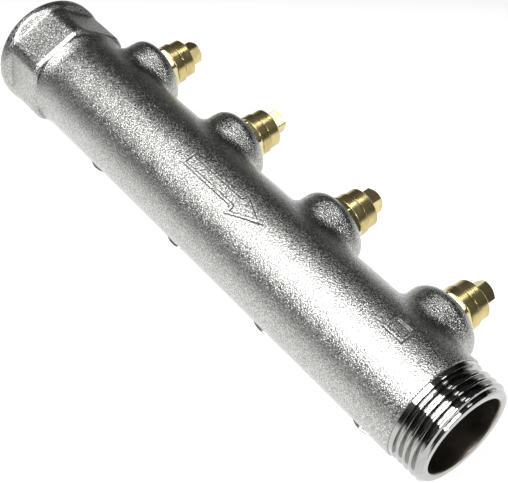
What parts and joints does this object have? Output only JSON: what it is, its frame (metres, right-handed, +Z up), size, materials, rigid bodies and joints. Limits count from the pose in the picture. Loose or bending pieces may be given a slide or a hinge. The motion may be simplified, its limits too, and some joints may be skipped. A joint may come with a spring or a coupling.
{
  "type": "distribution manifold bar",
  "caption": "Nickel-plated brass manifold bar with male and female threaded ends, a row of square-key regulating valves and threaded outlets.",
  "frame": {"origin": "on the bar's axis, midway between the two middle valves", "axes": "+X along the bar towards the male end, +Y the way the valves point, +Z up; the outlets point down, -Z"},
  "size_m": [0.2032, 0.0592, 0.0471],
  "materials": {
    "nickelled_brass": "nickel plated, sand-cast with turned ends",
    "brass": "turned, bare",
    "spindle_brass": "turned and milled, bare",
    "rubber": "smooth",
    "slippery_washer": "smooth",
    "steel_screw": "turned"
  },
  "bodies": {
    "manifold": {"manifold_body": "nickelled_brass", "bonnet_1": "brass", "bonnet_2": "brass", "bonnet_3": "brass", "bonnet_4": "brass", "bonnet_seal_1": "rubber", "bonnet_seal_2": "rubber", "bonnet_seal_3": "rubber", "bonnet_seal_4": "rubber", "gland_1": "brass", "gland_2": "brass", "gland_3": "brass", "gland_4": "brass", "thrust_washer_1": "slippery_washer", "thrust_washer_2": "slippery_washer", "thrust_washer_3": "slippery_washer", "thrust_washer_4": "slippery_washer"},
    "spindle_1": {"spindle_1": "spindle_brass", "spindle_orings_1": "rubber"},
    "plug_1": {"plug_1": "brass", "seat_washer_1": "rubber", "washer_screw_1": "steel_screw"},
    "spindle_2": {"spindle_2": "spindle_brass", "spindle_orings_2": "rubber"},
    "plug_2": {"plug_2": "brass", "seat_washer_2": "rubber", "washer_screw_2": "steel_screw"},
    "spindle_3": {"spindle_3": "spindle_brass", "spindle_orings_3": "rubber"},
    "plug_3": {"plug_3": "brass", "seat_washer_3": "rubber", "washer_screw_3": "steel_screw"},
    "spindle_4": {"spindle_4": "spindle_brass", "spindle_orings_4": "rubber"},
    "plug_4": {"plug_4": "brass", "seat_washer_4": "rubber", "washer_screw_4": "steel_screw"}
  },
  "joints": [
    {"name": "spindle_turn_1", "type": "hinge", "parent": "manifold", "child": "spindle_1", "pos_m": [-0.069, 0.03, 0], "axis": [0, 1, 0], "range_deg": [0, 900]},
    {"name": "plug_lift_1", "type": "slide", "parent": "manifold", "child": "plug_1", "axis": [0, 1, 0], "range_m": [0, 0.0025]},
    {"name": "spindle_turn_2", "type": "hinge", "parent": "manifold", "child": "spindle_2", "pos_m": [-0.023, 0.03, 0], "axis": [0, 1, 0], "range_deg": [0, 900]},
    {"name": "plug_lift_2", "type": "slide", "parent": "manifold", "child": "plug_2", "axis": [0, 1, 0], "range_m": [0, 0.0025]},
    {"name": "spindle_turn_3", "type": "hinge", "parent": "manifold", "child": "spindle_3", "pos_m": [0.023, 0.03, 0], "axis": [0, 1, 0], "range_deg": [0, 900]},
    {"name": "plug_lift_3", "type": "slide", "parent": "manifold", "child": "plug_3", "axis": [0, 1, 0], "range_m": [0, 0.0025]},
    {"name": "spindle_turn_4", "type": "hinge", "parent": "manifold", "child": "spindle_4", "pos_m": [0.069, 0.03, 0], "axis": [0, 1, 0], "range_deg": [0, 900]},
    {"name": "plug_lift_4", "type": "slide", "parent": "manifold", "child": "plug_4", "axis": [0, 1, 0], "range_m": [0, 0.0025]}
  ],
  "couplings": [
    {"joint": "spindle_turn_1", "follows": "plug_lift_1", "rad_per_m": 6283.2},
    {"joint": "spindle_turn_2", "follows": "plug_lift_2", "rad_per_m": 6283.2},
    {"joint": "spindle_turn_3", "follows": "plug_lift_3", "rad_per_m": 6283.2},
    {"joint": "spindle_turn_4", "follows": "plug_lift_4", "rad_per_m": 6283.2}
  ]
}
